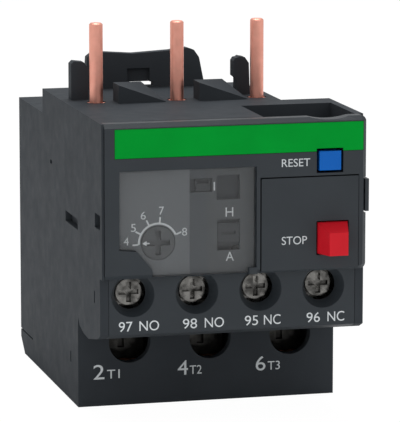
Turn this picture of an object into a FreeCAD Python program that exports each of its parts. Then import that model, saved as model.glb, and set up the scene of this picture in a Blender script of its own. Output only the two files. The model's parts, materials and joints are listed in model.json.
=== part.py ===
import FreeCAD, Part

import os

import Sketcher

# Thermal overload relay, in millimetres.
# X runs to the right, Y to the back and Z up.  The origin is the middle of the
# underside of the whole relay, its protruding button and side latch included.

DOC = FreeCAD.newDocument("ThermalOverloadRelay")
SHEET = DOC.addObject("Spreadsheet::Sheet", "Dims")
V = FreeCAD.Vector

DRIVING_DIMENSIONS = [
    # housing
    ("body_width", 44.6, "housing, left side to right side"),
    ("latch_proud", 0.4, "side latch beyond the right side"),
    ("body_depth", 67.0, "front cover's face to the back"),
    ("stop_proud", 3.0, "stop button beyond the front cover"),
    ("body_height", 50.5, "underside to the top level"),
    ("step_drop", 4.2, "rear top level below the front one"),
    ("step_setback", 46.4, "front cover's face to the step down"),
    ("top_short", 8.7, "top level's rear part, short of the right side"),
    ("top_front_run", 22.0, "depth of the full-width top level"),
    ("cover_height", 25.5, "front cover, top to bottom"),
    ("cover_thick", 2.4, "front cover's plate"),
    ("aux_setback", 1.8, "auxiliary block behind the front cover's face"),
    ("aux_height", 9.5, "auxiliary block's front face"),
    ("lip_drop", 2.1, "lowest point of the auxiliary block's lip"),
    ("lower_setback", 18.7, "lower face behind the front cover's face"),
    ("toe_depth", 3.4, "rear lower bevel, along the depth"),
    ("toe_height", 2.6, "rear lower bevel, height"),
    ("side_wall", 1.4, "side walls beside the front chamber"),
    ("floor_wall", 1.8, "underside's wall"),
    ("seam", 0.3, "open seam between the cover and the side wall"),
    ("seat_gap", 0.05, "clearance of a piece in its seat"),
    ("run_gap", 0.05, "radial clearance of a pin that turns or slides"),
    ("free_gap", 0.3, "clearance between pieces that pass each other"),
    # front chamber
    ("chamber_back", 16.5, "front chamber's rear wall"),
    ("pole_front", 20.5, "pole chambers' front wall"),
    ("pocket_left", 27.6, "pocket in the top, from the left side"),
    ("pocket_depth", 4.0, "pocket in the top, below the top level"),
    ("pocket_wall", 1.1, "pocket's walls"),
    ("pocket_rim", 1.4, "wall at the right of the pocket"),
    # poles
    ("pole_pitch", 14.0, "one pole to the next"),
    ("pole_middle", 0.4, "middle pole's axis"),
    ("pole_room", 11.0, "clear width of a pole chamber"),
    ("pin_offset", 3.7, "line pin left of its pole's axis"),
    ("pin_setback", 27.0, "line pins behind the front cover's face"),
    ("pin_radius", 1.15, "line pin outside the housing"),
    ("pin_root_radius", 1.6, "line pin inside the housing"),
    ("pin_shoulder", 0.15, "line pin's shoulder below the top level"),
    ("pin_proud", 13.4, "line pin above the top level"),
    ("pin_bend", 3.0, "bend radius of the line pin"),
    ("pin_run_drop", 3.5, "line pin's horizontal run below the sliders"),
    # load terminals
    ("tunnel_radius", 3.6, "screwdriver tunnel"),
    ("tunnel_height", 10.8, "load screw's axis above the underside"),
    ("load_head_setback", 25.5, "load screw's head behind the cover's face"),
    ("load_head_radius", 3.1, "load screw's head"),
    ("load_head_thick", 2.5, "load screw's head"),
    ("load_shank_radius", 2.0, "load screw's shank"),
    ("load_shank_length", 8.0, "load screw's shank"),
    ("load_plate_half", 4.6, "half width of load clamp and load bar"),
    ("load_bar_thick", 1.8, "load bar"),
    ("load_strap_thick", 1.4, "load bar's strap under the winding"),
    # auxiliary terminals
    ("aux_first", 5.5, "first auxiliary screw from the left side"),
    ("aux_last", 6.85, "last auxiliary screw from the right side"),
    ("aux_rise", 6.55, "auxiliary screws above the block's lower edge"),
    ("aux_well_radius", 3.6, "funnel at the auxiliary block's face"),
    ("aux_neck_radius", 2.6, "funnel's inner end"),
    ("aux_well_depth", 2.4, "funnel's depth"),
    ("aux_head_setback", 5.0, "auxiliary screw's head behind the cover's face"),
    ("aux_head_radius", 2.2, "auxiliary screw's head"),
    ("aux_head_thick", 1.8, "auxiliary screw's head"),
    ("aux_shank_radius", 1.7, "auxiliary screw's shank"),
    ("aux_shank_length", 6.2, "auxiliary screw's shank"),
    ("aux_plate_half", 3.4, "half width of auxiliary clamp and plate"),
    ("clamp_thick", 1.1, "auxiliary clamp"),
    ("load_clamp_thick", 1.4, "load clamp"),
    ("plate_thick", 1.2, "auxiliary terminal plate"),
    # window, scale and setting parts
    ("window_left", 3.0, "window cover, from the left side"),
    ("window_width", 22.7, "window cover"),
    ("window_drop", 7.9, "window cover's upper edge below the top"),
    ("window_foot", 0.3, "strip of front cover under the window"),
    ("window_thick", 1.2, "window cover"),
    ("window_gap", 0.15, "gap around the window cover"),
    ("panel_seam", 0.22, "open seam at the button panel's left and top"),
    ("scale_setback", 1.6, "scale plate behind the cover's face"),
    ("scale_thick", 0.8, "scale plate"),
    ("dial_left", 9.65, "dial's axis from the left side"),
    ("dial_drop", 19.9, "dial's axis below the top"),
    ("dial_radius", 2.75, "dial's face"),
    ("dial_gap", 0.1, "gap around the dial's face"),
    ("dial_flange", 3.3, "dial's flange behind the scale plate"),
    ("dial_shaft", 1.2, "dial's shaft"),
    ("cam_radius", 3.2, "cam at the lowest setting"),
    ("cam_rise", 0.4, "cam's growth over the dial's range"),
    ("dial_sweep", 160.0, "dial's range in degrees"),
    ("hinge_radius", 0.45, "window cover's hinge pins"),
    # buttons
    ("reset_right", 4.53, "reset button from the right side"),
    ("reset_width", 3.64, "reset button"),
    ("reset_height", 3.15, "reset button"),
    ("reset_drop", 5.63, "reset button below the top"),
    ("reset_proud", 0.2, "reset button beyond the cover"),
    ("well_margin", 0.45, "reset button's well around the button"),
    ("stop_right", 3.28, "stop button's foot from the right side"),
    ("stop_width", 5.1, "stop button's foot"),
    ("stop_height", 5.2, "stop button's foot"),
    ("stop_drop", 17.42, "stop button's foot below the top"),
    ("stem_radius", 1.0, "stems of both buttons"),
    ("button_travel", 2.0, "press of both buttons"),
    ("spring_radius", 1.55, "mean radius of the button springs"),
    ("spring_wire", 0.2, "wire radius of the button springs"),
    ("spring_pitch", 1.3, "pitch of the button springs"),
    # thermal mechanism
    ("bimetal_thick", 0.9, "bimetal strip"),
    ("bimetal_width", 5.0, "bimetal strip"),
    ("bimetal_top", 41.0, "bimetal strip's free end above the underside"),
    ("bimetal_setback", 50.0, "bimetal strip behind the cover's face"),
    ("winding_turns", 8, "turns of a heater winding"),
    ("winding_pitch", 2.6, "one turn to the next"),
    ("winding_tape", 0.8, "thickness of the winding's tape"),
    ("slider_level", 37.5, "underside of both sliders"),
    ("slider_thick", 1.5, "both sliders"),
    ("slider_travel", 1.0, "main slider, rest to trip"),
    ("strip_place", 24.5, "compensation strip's pivot from the left side"),
    ("strip_thick", 0.6, "compensation strip"),
    ("strip_pivot_level", 43.5, "compensation strip's pivot"),
    ("strip_tip_level", 34.2, "compensation strip's lower end"),
    ("lever_place", 30.5, "trip lever's pivot from the left side"),
    ("lever_level", 41.0, "trip lever's pivot"),
    ("bar_level", 34.2, "underside of the trip bar"),
    ("bar_thick", 1.6, "trip bar, height"),
    ("leaf_thick", 0.3, "contact leaves"),
    ("contact_level", 31.5, "contact rivets above the underside"),
]


class Size:
    """A length that knows its value and the sheet's formula that it comes from."""

    def __init__(self, value, formula):
        self.value = float(value)
        self.formula = formula

    def __add__(self, other):
        other = as_size(other)
        return Size(self.value + other.value, f"({self.formula} + {other.formula})")

    def __radd__(self, other):
        return as_size(other) + self

    def __sub__(self, other):
        other = as_size(other)
        return Size(self.value - other.value, f"({self.formula} - {other.formula})")

    def __rsub__(self, other):
        return as_size(other) - self

    def __mul__(self, factor):
        factor = as_size(factor)
        return Size(self.value * factor.value, f"({self.formula} * {factor.formula})")

    def __truediv__(self, factor):
        factor = as_size(factor)
        return Size(self.value / factor.value, f"({self.formula} / {factor.formula})")

    def __neg__(self):
        return Size(-self.value, f"(0 - {self.formula})")

    def __float__(self):
        return self.value


def as_size(number):
    return number if isinstance(number, Size) else Size(number, f"({float(number)})")


def fill_sheet():
    """Write the driving dimensions into the sheet and hand them back by name."""
    for row, (alias, value, meaning) in enumerate(DRIVING_DIMENSIONS, start=1):
        SHEET.set(f"A{row}", alias)
        SHEET.set(f"B{row}", str(value))
        SHEET.setAlias(f"B{row}", alias)
        SHEET.set(f"C{row}", meaning)
    DOC.recompute()
    sizes = type("Sizes", (), {})()
    for alias, _, _ in DRIVING_DIMENSIONS:
        setattr(sizes, alias, Size(SHEET.get(alias), f"Dims.{alias}"))
    return sizes


D = fill_sheet()

# Places that several pieces share
LEFT = -(D.body_width + D.latch_proud) / 2
RIGHT = LEFT + D.body_width
FRONT = D.stop_proud - (D.body_depth + D.stop_proud) / 2
BACK = FRONT + D.body_depth
TOP = D.body_height
REAR_TOP = TOP - D.step_drop
COVER_FOOT = TOP - D.cover_height
AUX_FOOT = COVER_FOOT - D.aux_height
STEP = FRONT + D.step_setback
AUX_FACE = FRONT + D.aux_setback
LOWER_FACE = FRONT + D.lower_setback
CHAMBER_BACK = FRONT + D.chamber_back
POLE_FRONT = FRONT + D.pole_front
COVER_BACK = FRONT + D.cover_thick
INNER_LEFT = LEFT + D.side_wall
INNER_RIGHT = RIGHT - D.side_wall
POCKET_LEFT = LEFT + D.pocket_left
POCKET_FLOOR = TOP - D.pocket_depth
POLES = [D.pole_middle + D.pole_pitch * k for k in (-1, 0, 1)]
AUX_PITCH = (D.body_width - D.aux_first - D.aux_last) / 3
AUX_AXES = [LEFT + D.aux_first + AUX_PITCH * k for k in range(4)]
AUX_LEVEL = AUX_FOOT + D.aux_rise
DIAL_X = LEFT + D.dial_left
DIAL_Z = TOP - D.dial_drop
RESET_X = RIGHT - D.reset_right - D.reset_width / 2
RESET_Z = TOP - D.reset_drop - D.reset_height / 2
STOP_X = RIGHT - D.stop_right - D.stop_width / 2
STOP_Z = TOP - D.stop_drop - D.stop_height / 2
PIN_Y = FRONT + D.pin_setback
PIN_RUN = D.slider_level - D.pin_run_drop
PIN_SHOULDER = TOP - D.pin_shoulder
BIMETAL_Y = FRONT + D.bimetal_setback
REAR_SEAT = 2.1
REAR_COVER_FOOT = D.toe_height + 1.1
REAR_COVER_TOP = REAR_TOP - 1.1
POLE_CEILING = REAR_TOP - D.floor_wall
SLIDER_TOP = D.slider_level + D.slider_thick
STRIP_X = LEFT + D.strip_place
LEVER_X = LEFT + D.lever_place
BAR_TOP = D.bar_level + D.bar_thick
PLATE_FRONT = FRONT + D.aux_head_setback + D.aux_head_thick + D.clamp_thick + D.free_gap * 1.2
SHELF_TOP = AUX_LEVEL + 5.1
SHELF_FOOT = SHELF_TOP - 0.8
LEAF_FOOT = SHELF_TOP + 0.15

SUBPARTS = []
COUNTS = {}


# ---------------------------------------------------------------- small helpers

def fresh(kind):
    """A name for one of the building blocks, numbered by its kind."""
    COUNTS[kind] = COUNTS.get(kind, 0) + 1
    return f"{kind}_{COUNTS[kind]}"


def bind(part, prop, size):
    part.setExpression(prop, as_size(size).formula)


def place(part, x, y, z):
    for axis, size in zip("xyz", (x, y, z)):
        bind(part, f"Placement.Base.{axis}", size)


def box(x, y, z):
    """A block between a low and a high place on each axis."""
    block = DOC.addObject("Part::Box", fresh("box"))
    for prop, (low, high) in zip(("Length", "Width", "Height"), (x, y, z)):
        bind(block, prop, as_size(high) - low)
    place(block, x[0], y[0], z[0])
    return block


TURNS = {
    "x": FreeCAD.Rotation(V(0, 1, 0), 90),
    "y": FreeCAD.Rotation(V(1, 0, 0), -90),
    "z": FreeCAD.Rotation(),
}


def rod(axis, at, radius, length):
    """A cylinder that starts at a place and runs along an axis."""
    part = DOC.addObject("Part::Cylinder", fresh("rod"))
    part.Placement = FreeCAD.Placement(V(), TURNS[axis])
    bind(part, "Radius", radius)
    bind(part, "Height", length)
    place(part, *at)
    return part


def funnel(axis, at, radius_start, radius_end, length):
    """A cone that starts at a place and runs along an axis."""
    part = DOC.addObject("Part::Cone", fresh("funnel"))
    part.Placement = FreeCAD.Placement(V(), TURNS[axis])
    bind(part, "Radius1", radius_start)
    bind(part, "Radius2", radius_end)
    bind(part, "Height", length)
    place(part, *at)
    return part


def fuse(*parts):
    joined = DOC.addObject("Part::MultiFuse", fresh("fuse"))
    joined.Shapes = list(parts)
    return joined


def cut(base, *tools):
    result = DOC.addObject("Part::Cut", fresh("cut"))
    result.Base = base
    result.Tool = tools[0] if len(tools) == 1 else fuse(*tools)
    return result


def draw(sketch, points):
    """A closed outline whose corners are bound to the sheet."""
    count = len(points)
    first = sketch.GeometryCount
    for k, corner in enumerate(points):
        after = points[(k + 1) % count]
        start = V(float(corner[0]), float(corner[1]), 0)
        sketch.addGeometry(Part.LineSegment(start, V(float(after[0]), float(after[1]), 0)), False)
    for k, corner in enumerate(points):
        following = first + (k + 1) % count
        sketch.addConstraint(Sketcher.Constraint("Coincident", first + k, 2, following, 1))
        for kind, size in zip(("DistanceX", "DistanceY"), corner):
            name = fresh("corner")
            index = sketch.addConstraint(Sketcher.Constraint(kind, first + k, 1, float(size)))
            sketch.renameConstraint(index, name)
            sketch.setExpression(f"Constraints.{name}", as_size(size).formula)


def draw_circle(sketch, centre, radius):
    """A circle whose centre and radius are bound to the sheet."""
    middle = V(float(centre[0]), float(centre[1]), 0)
    circle = sketch.addGeometry(Part.Circle(middle, V(0, 0, 1), float(radius)), False)
    for kind, size in (("DistanceX", centre[0]), ("DistanceY", centre[1])):
        name = fresh("centre")
        index = sketch.addConstraint(Sketcher.Constraint(kind, circle, 3, float(size)))
        sketch.renameConstraint(index, name)
        sketch.setExpression(f"Constraints.{name}", as_size(size).formula)
    name = fresh("radius")
    index = sketch.addConstraint(Sketcher.Constraint("Radius", circle, float(radius)))
    sketch.renameConstraint(index, name)
    sketch.setExpression(f"Constraints.{name}", as_size(radius).formula)


SKETCH_TURNS = {
    "x": FreeCAD.Rotation(V(1, 1, 1), 120),
    "y": FreeCAD.Rotation(V(1, 0, 0), 90),
    "z": FreeCAD.Rotation(),
}
DIRECTIONS = {"x": V(1, 0, 0), "y": V(0, 1, 0), "z": V(0, 0, 1)}


def free_sketch(axis, level, points):
    """An outline drawn across an axis: (Y, Z) across x, (X, Z) across y, (X, Y) across z."""
    sketch = DOC.addObject("Sketcher::SketchObject", fresh("outline"))
    sketch.Placement = FreeCAD.Placement(V(), SKETCH_TURNS[axis])
    draw(sketch, points)
    bind(sketch, f"Placement.Base.{axis}", level)
    return sketch


def prism(axis, low, high, points):
    """An outline extruded along an axis, from one level to another."""
    solid = DOC.addObject("Part::Extrusion", fresh("prism"))
    solid.Base = free_sketch(axis, low, points)
    solid.DirMode = "Custom"
    solid.Dir = DIRECTIONS[axis]
    solid.Solid = True
    bind(solid, "LengthFwd", as_size(high) - low)
    return solid


def loft(axis, low, low_points, high, high_points):
    """A solid drawn out between two outlines with as many corners each."""
    solid = DOC.addObject("Part::Loft", fresh("loft"))
    solid.Sections = [free_sketch(axis, low, low_points), free_sketch(axis, high, high_points)]
    solid.Solid = True
    solid.Ruled = True
    return solid


def origin_plane(body, role):
    return next(plane for plane in body.Origin.OriginFeatures if plane.Role == role)


def body_sketch(body, level):
    """A sketch in a body, parallel to the front, with X to the right and Y up."""
    sketch = body.newObject("Sketcher::SketchObject", fresh("sketch"))
    sketch.AttachmentSupport = (origin_plane(body, "XZ_Plane"), [""])
    sketch.MapMode = "FlatFace"
    bind(sketch, "AttachmentOffset.Base.z", -as_size(level))
    return sketch


def plate_body(low, high, outlines=(), circles=(), holes=(), round_holes=()):
    """A PartDesign body: a padded plate across the depth, with pockets through it."""
    body = DOC.addObject("PartDesign::Body", fresh("body"))
    sketch = body_sketch(body, low)
    for points in outlines:
        draw(sketch, points)
    for centre, radius in circles:
        draw_circle(sketch, centre, radius)
    pad = body.newObject("PartDesign::Pad", fresh("pad"))
    pad.Profile = sketch
    pad.Reversed = True
    bind(pad, "Length", as_size(high) - low)
    body.Tip = pad
    if holes or round_holes:
        opening = body_sketch(body, low)
        for points in holes:
            draw(opening, points)
        for centre, radius in round_holes:
            draw_circle(opening, centre, radius)
        pocket = body.newObject("PartDesign::Pocket", fresh("pocket"))
        pocket.Profile = opening
        pocket.Type = "ThroughAll"
        pocket.Midplane = True
        body.Tip = pocket
    return body


def rectangle(x, z):
    return [(x[0], z[0]), (x[1], z[0]), (x[1], z[1]), (x[0], z[1])]


def round_edges(part, radius, chosen):
    """Fillet the edges of a part whose middle point passes a test."""
    DOC.recompute()
    result = DOC.addObject("Part::Fillet", fresh("fillet"))
    result.Base = part
    result.Edges = [
        (number, float(radius), float(radius))
        for number, edge in enumerate(part.Shape.Edges, start=1)
        if chosen(edge)
    ]
    return result


def runs_along(edge, axis):
    """Whether a straight edge lies along an axis."""
    if len(edge.Vertexes) != 2:
        return False
    run = edge.Vertexes[1].Point - edge.Vertexes[0].Point
    return abs(run.normalize().dot(DIRECTIONS[axis])) > 0.999


def subpart(label, part):
    part.Label = label
    SUBPARTS.append(part)
    return part


# ---------------------------------------------------------------- housing

def base_housing():
    """The moulded body: side walls, pole chambers, top, posts and guide ramps."""
    lip = [
        (LOWER_FACE, AUX_FOOT),
        (LOWER_FACE - 1.3, AUX_FOOT - D.lip_drop * 0.55),
        (LOWER_FACE - 4.4, AUX_FOOT - D.lip_drop * 0.9),
        (LOWER_FACE - 8.2, AUX_FOOT - D.lip_drop),
        (AUX_FACE + 2.0, AUX_FOOT - D.lip_drop * 0.4),
        (AUX_FACE, AUX_FOOT),
    ]
    side = [
        (FRONT + D.seam, TOP),
        (STEP, TOP),
        (STEP, REAR_TOP),
        (BACK, REAR_TOP),
        (BACK, D.toe_height),
        (BACK - D.toe_depth, 0),
        (LOWER_FACE, 0),
        *lip,
        (AUX_FACE, COVER_FOOT),
        (FRONT + D.seam, COVER_FOOT),
    ]
    solid = prism("x", LEFT, RIGHT, side)
    body = cut(solid, *front_cavities(), *pole_cavities(), *outer_recesses())
    return subpart("base_housing", fuse(body, *top_features(), *chamber_features()))


def front_cavities():
    """The chamber behind the cover and the auxiliary block, and the pocket above it."""
    under_pocket = POCKET_FLOOR - D.pocket_wall
    inner = (INNER_LEFT, INNER_RIGHT)
    return [
        box((INNER_LEFT, POCKET_LEFT - D.pocket_wall), (FRONT - 1, CHAMBER_BACK), (0, TOP - 1.6)),
        box(inner, (FRONT - 1, CHAMBER_BACK), (0, under_pocket)),
        box((LEFT + 0.4, RIGHT + 1), (FRONT - 1, COVER_BACK + D.seat_gap), (COVER_FOOT, TOP + 1)),
        box((LEFT - 1, LEFT + 1), (FRONT - 1, FRONT + D.seam), (0, TOP + 1)),
        box(
            (POCKET_LEFT, RIGHT - D.pocket_rim),
            (FRONT, CHAMBER_BACK - 0.1),
            (POCKET_FLOOR, TOP + 1),
        ),
        rod("y", (RESET_X, CHAMBER_BACK - 1, RESET_Z), D.stem_radius + D.run_gap, 6),
        rod("y", (STOP_X, CHAMBER_BACK - 1, STOP_Z), D.stem_radius + D.run_gap, 6),
    ]


def pole_cavities():
    """Three pole chambers with their tunnels, cable entries and pin holes."""
    half = D.pole_room / 2
    tools = []
    for pole in POLES:
        tools += [
            box((pole - half, pole + half), (POLE_FRONT, BACK - REAR_SEAT), (D.floor_wall, POLE_CEILING)),
            rod("y", (pole, FRONT, D.tunnel_height), D.tunnel_radius, D.pole_front + 1),
            box(
                (pole - D.load_plate_half, pole + D.load_plate_half),
                (POLE_FRONT + 4.0, POLE_FRONT + 11.1),
                (-1, D.floor_wall + 1),
            ),
            rod(
                "z",
                (pole - D.pin_offset, PIN_Y, POLE_CEILING - 1),
                D.pin_root_radius + D.seat_gap,
                TOP - POLE_CEILING + 2,
            ),
        ]
    slider_low = D.slider_level - 0.2
    slider_high = SLIDER_TOP + 3.4
    across = (POLES[0] - half, POLES[2] + half)
    depth = (BIMETAL_Y - 6.4, BIMETAL_Y + 6.4)
    tools += [
        box(across, depth, (slider_low, slider_high)),
        box(
            (STRIP_X - 2.5, STRIP_X + 1.4),
            (CHAMBER_BACK - 1, POLE_FRONT + 1),
            (D.slider_level - 1.7, D.slider_level + 1.3),
        ),
    ]
    return tools


def outer_recesses():
    """The cut-back top, the rear cover's seat and the small marks in the left side."""
    short = RIGHT - D.top_short
    tools = [
        box((short, RIGHT + 1), (FRONT + D.top_front_run, STEP + 1), (REAR_TOP, TOP + 1)),
        box(
            (LEFT + REAR_SEAT, RIGHT - REAR_SEAT),
            (BACK - REAR_SEAT, BACK + 1),
            (REAR_COVER_FOOT, REAR_COVER_TOP),
        ),
        box(
            (HOOK_LEFT + 2.9, HOOK_RIGHT - 3.9),
            (HOOK_FRONT - D.seat_gap, HOOK_BACK + D.seat_gap),
            (TOP - HOOK_TANG, TOP + 1),
        ),
        box((RIGHT - 0.3, RIGHT + 1), (FRONT, FRONT + 6.3), (LATCH_FOOT - 0.05, LATCH_TOP + 0.05)),
    ]
    marks = [
        # depth range behind the cover's face, height range below the top, depth of the mark
        ((18.4, 28.0), (18.4, 20.2), 1.1),
        ((1.5, 5.4), (15.1, 17.5), 0.9),
        ((38.8, 40.3), (11.5, 12.2), 0.4),
        ((5.6, 6.3), (28.2, 30.2), 0.6),
        ((24.2, 24.9), (42.0, 43.9), 0.8),
        ((56.4, 67.5), (46.3, 46.55), 0.3),
    ]
    for (near, far), (high, low), deep in marks:
        depth = (FRONT + near, FRONT + far)
        height = (TOP - low, TOP - high)
        tools.append(box((LEFT - 1, LEFT + deep), depth, height))
        tools.append(box((RIGHT - deep, RIGHT + 1), depth, height))
    joint = box((LEFT + 7.2, LEFT + 25.9), (COVER_BACK - 0.1, COVER_BACK + 0.35), (TOP - 0.5, TOP + 1))
    return [*tools, joint]


def post(x, nose):
    """A locating post with a rounded head, and a nose on its left where it has one."""
    front = FRONT + 30.2
    shaft = prism("y", front, front + 2.2, [
        (x[0], TOP - 0.5),
        (x[1] + 0.2, TOP - 0.5),
        (x[1], TOP + 5.4),
        (x[1] - 0.7, TOP + 6.4),
        (x[0] + 0.5, TOP + 6.6),
        (x[0], TOP + 6.1),
    ])
    if not nose:
        return [shaft]
    head = prism("y", front, front + 2.2, [
        (x[0] + 0.2, TOP + 2.6),
        (x[0] + 0.2, TOP + 6.4),
        (x[0] - 0.2, TOP + 6.3),
        (x[0] - 0.55, TOP + 5.8),
        (x[0] - 0.55, TOP + 3.2),
    ])
    return [shaft, head]


def ramp(x):
    """A guide ramp: full height at its left, down to nothing at its right."""
    high = 3.1
    foot = TOP - 0.5
    front = FRONT + 24.0
    return loft(
        "y",
        front,
        [(x[0], foot), (x[1], foot), (x[1], TOP + 0.1), (x[0], TOP + high)],
        front + 4.2,
        [(x[0], foot), (x[1], foot), (x[1] - 3.4, TOP + high), (x[0], TOP + high)],
    )


def top_features():
    """Posts and ramps beside the line pins."""
    return [
        *post((LEFT + 1.6, LEFT + 4.5), nose=False),
        *post((POLES[2] - 6.4, POLES[2] - 4.2), nose=True),
        ramp((POLES[0] - 0.5, POLES[0] + 7.7)),
        ramp((POLES[1] - 0.5, POLES[1] + 7.9)),
    ]


def chamber_features():
    """Bosses and ribs that carry the mechanism in the front chamber."""
    reach = CHAMBER_BACK + 0.5
    bearing_front = FRONT + 11.5
    bearing = cut(
        rod("y", (DIAL_X, bearing_front, DIAL_Z), 2.4, reach - bearing_front),
        rod("y", (DIAL_X, bearing_front - 1, DIAL_Z), D.dial_shaft + D.run_gap, 3.4),
    )
    pivot = rod("y", (LEVER_X, FRONT + 8.6, D.lever_level), 1.0, reach - FRONT - 8.6)
    rib_height = (D.bar_level - 1.6, D.bar_level - 0.2)
    ribs = [
        box((LEFT + near, LEFT + near + 1.6), (FRONT + 11.8, reach), rib_height)
        for near in (18.4, 26.2)
    ]
    return [bearing, pivot, *ribs]


LATCH_TOP = TOP - 10.5
LATCH_FOOT = TOP - 15.9
HOOK_LEFT = LEFT + 6.9
HOOK_RIGHT = LEFT + 28.3
HOOK_FRONT = FRONT + 43.3
HOOK_BACK = HOOK_FRONT + 1.8
HOOK_TANG = 3.0


def rear_cover():
    """The plate that closes the pole chambers, with two vents for each pole."""
    vents = []
    for pole in POLES:
        for height in (14.0, 26.0):
            vents.append(rectangle((pole - 2.6, pole + 2.6), (height, height + 1.4)))
    outline = rectangle(
        (LEFT + REAR_SEAT + D.seat_gap, RIGHT - REAR_SEAT - D.seat_gap),
        (REAR_COVER_FOOT + D.seat_gap, REAR_COVER_TOP - D.seat_gap),
    )
    return subpart("rear_cover", plate_body(BACK - REAR_SEAT, BACK, [outline], holes=vents))


def contactor_hook():
    """The plate that hooks into the contactor above, with its tang in the top."""
    front, back = HOOK_FRONT, HOOK_BACK
    blade = prism("y", front, back, [
        (HOOK_LEFT, TOP),
        (HOOK_RIGHT, TOP),
        (HOOK_RIGHT - 1.0, TOP + 5.0),
        (HOOK_RIGHT - 1.9, TOP + 6.3),
        (HOOK_RIGHT - 3.2, TOP + 6.75),
        (HOOK_RIGHT - 6.4, TOP + 6.35),
        (HOOK_RIGHT - 12.9, TOP + 6.0),
        (HOOK_LEFT + 3.1, TOP + 6.4),
        (HOOK_LEFT + 1.3, TOP + 6.3),
        (HOOK_LEFT + 0.4, TOP + 5.6),
    ])
    tang = box(
        (HOOK_LEFT + 2.95, HOOK_RIGHT - 3.95),
        (front, back),
        (TOP - HOOK_TANG + D.seat_gap, TOP + 0.1),
    )
    lip = box((HOOK_LEFT + 4.0, HOOK_RIGHT - 5.0), (back - 0.1, back + 1.6), (TOP + 4.4, TOP + 5.6))
    slit = box((HOOK_LEFT + 8.0, HOOK_LEFT + 12.1), (front - 1, back + 3), (TOP + 0.3, TOP + 1.0))
    recess = box((HOOK_LEFT + 7.5, HOOK_LEFT + 11.5), (front - 1, front + 0.8), (TOP + 0.9, TOP + 3.4))
    return subpart("contactor_hook", cut(fuse(blade, tang, lip), slit, recess))


# ---------------------------------------------------------------- front

def window_outline(gap, right=None):
    """The window cover's outline with its cut lower left corner, grown by a gap."""
    left = LEFT + D.window_left
    right = right or WINDOW_RIGHT + gap
    high = TOP - D.window_drop
    low = COVER_FOOT + D.window_foot
    return [
        (left - gap, high + gap),
        (right, high + gap),
        (right, low - gap),
        (left + 5.6 - gap, low - gap),
        (left + 5.4 - gap, low + 1.3),
        (left + 2.9 - gap, low + 4.4 - gap),
        (left - gap, low + 4.7 - gap),
    ]


WINDOW_RIGHT = LEFT + D.window_left + D.window_width
WINDOW_TOP = TOP - D.window_drop
WINDOW_FOOT = COVER_FOOT + D.window_foot
HINGE_X = WINDOW_RIGHT - D.window_thick / 2
HINGE_Y = FRONT + D.window_thick / 2
LUG_TOP = WINDOW_FOOT + 0.8
PANEL_LEFT = WINDOW_RIGHT + 0.75 + D.panel_seam
PANEL_RIGHT = RIGHT - 1.4
PANEL_TOP = TOP - 9.85
PANEL_FOOT = COVER_FOOT + 0.35


def front_cover():
    """The front cover: openings for the window, the button panel and the reset well."""
    plate = prism("y", FRONT, COVER_BACK, rectangle((LEFT + 0.45, RIGHT), (COVER_FOOT, TOP)))
    right_edge = float(RIGHT) - 0.01
    rounded = round_edges(
        plate, 1.0, lambda edge: runs_along(edge, "y") and edge.CenterOfMass.x > right_edge
    )
    bevel = round_top_edge(rounded)
    window = prism("y", FRONT - 1, COVER_BACK + 1, window_outline(D.window_gap))
    panel = box(
        (PANEL_LEFT - D.panel_seam, PANEL_RIGHT + D.seat_gap),
        (FRONT - 1, COVER_BACK + 1),
        (PANEL_FOOT - D.seat_gap, PANEL_TOP + D.panel_seam),
    )
    well = reset_well()
    stripe = box((STRIPE_LEFT, STRIPE_RIGHT), (FRONT - 1, FRONT + 0.35), (STRIPE_FOOT, STRIPE_TOP))
    dip_radius = 12.7
    dip_x = RIGHT - 6.4
    dip = rod("y", (dip_x, FRONT - 1, TOP + dip_radius - 0.45), dip_radius, D.cover_thick + 2)
    notch = box((RIGHT - 0.5, RIGHT + 1), (FRONT - 1, COVER_BACK + 1), (LATCH_FOOT - 0.3, LATCH_TOP + 0.3))
    lug = fuse(
        rod("z", (HINGE_X, HINGE_Y, COVER_FOOT), D.window_thick / 2, LUG_TOP - COVER_FOOT),
        box((HINGE_X, WINDOW_RIGHT + 0.3), (FRONT, FRONT + D.window_thick), (COVER_FOOT, LUG_TOP)),
    )
    sockets = [
        rod("z", (HINGE_X, HINGE_Y, level), D.hinge_radius + D.run_gap, 1.1)
        for level in (WINDOW_TOP, LUG_TOP - 0.8)
    ]
    clip_depth = (COVER_BACK - 0.1, FRONT + 6.5)
    clips = [
        box((INNER_LEFT + 0.1, INNER_LEFT + 1.1), clip_depth, (COVER_FOOT + 8, COVER_FOOT + 10.4)),
        box((INNER_RIGHT - 1.1, INNER_RIGHT - 0.1), clip_depth, (TOP - 8.6, TOP - 6.2)),
    ]
    body = cut(bevel, window, panel, well, stripe, dip, notch)
    return subpart("front_cover", fuse(cut(fuse(body, lug), *sockets), *clips))


def reset_well():
    """The opening around the reset button."""
    half_width = D.reset_width / 2 + D.well_margin
    half_height = D.reset_height / 2 + D.well_margin
    return box(
        (RESET_X - half_width, RESET_X + half_width),
        (FRONT - 1, COVER_BACK + 1),
        (RESET_Z - half_height, RESET_Z + half_height),
    )


STRIPE_LEFT = LEFT + 2.1
STRIPE_RIGHT = RIGHT - 0.6
STRIPE_TOP = TOP - 0.85
STRIPE_FOOT = TOP - 5.7


def round_top_edge(part):
    """Bevel the cover's upper front edge."""
    DOC.recompute()
    bevel = DOC.addObject("Part::Chamfer", fresh("bevel"))
    bevel.Base = part
    bevel.Edges = [
        (number, 0.7, 0.7)
        for number, edge in enumerate(part.Shape.Edges, start=1)
        if runs_along(edge, "x")
        and abs(edge.CenterOfMass.y - float(FRONT)) < 0.01
        and edge.CenterOfMass.z > float(TOP) - 0.01
    ]
    return bevel


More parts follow.
